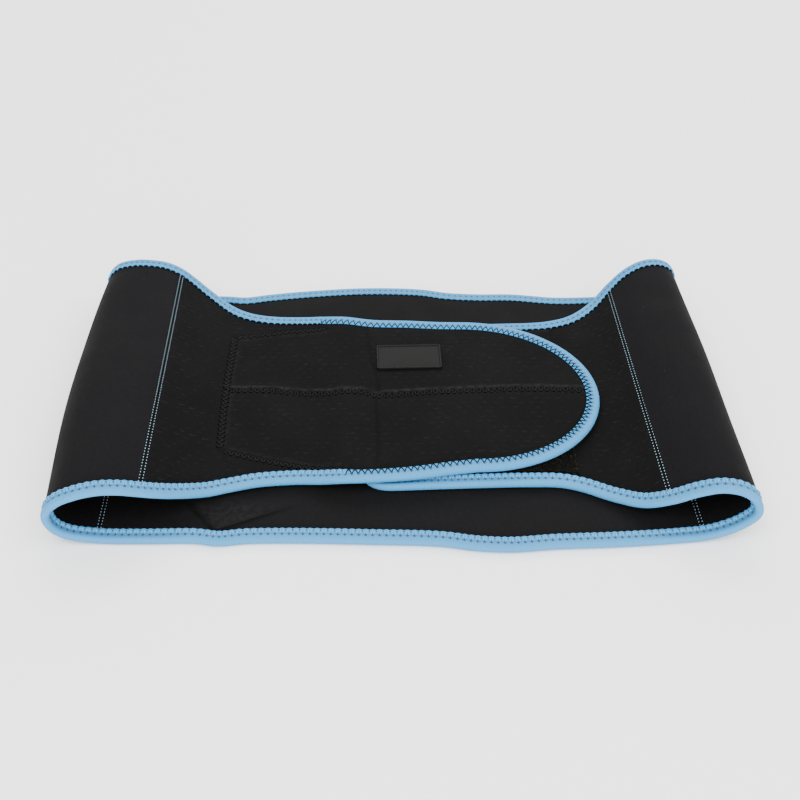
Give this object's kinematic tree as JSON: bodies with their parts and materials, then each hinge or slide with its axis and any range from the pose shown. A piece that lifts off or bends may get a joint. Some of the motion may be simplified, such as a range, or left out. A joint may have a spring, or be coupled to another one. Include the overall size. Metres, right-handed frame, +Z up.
{
  "type": "lumbar support belt",
  "caption": "Neoprene lumbar support belt with elastic edge binding, closed by its round front flap and laid flat on the floor as a low loop.",
  "frame": {"origin": "on the floor under the middle of the laid belt's bounding box", "axes": "+X along the laid loop towards the right fold, +Y away from the viewer across the belt, +Z up"},
  "size_m": [0.4008, 0.2522, 0.0403],
  "materials": {
    "back_cloth": "smooth black jersey over neoprene",
    "side_cloth": "smooth black jersey over neoprene, faint sheen",
    "front_cloth": "black neoprene embossed with small staggered dimples",
    "blue_tape": "light blue elastic tape with fine cross ribs and zigzag stitching",
    "fastener": "black napped loop and hook fabric",
    "rubber": "matt dark grey moulded rubber"
  },
  "bodies": {
    "root": {"back_panel": "back_cloth", "left_side_panel": "side_cloth", "right_side_panel": "side_cloth", "left_front_panel": "front_cloth", "right_front_panel": "front_cloth", "edge_binding": "blue_tape", "hook_patch": "fastener", "loop_patch": "fastener", "badge": "rubber"}
  },
  "joints": []
}
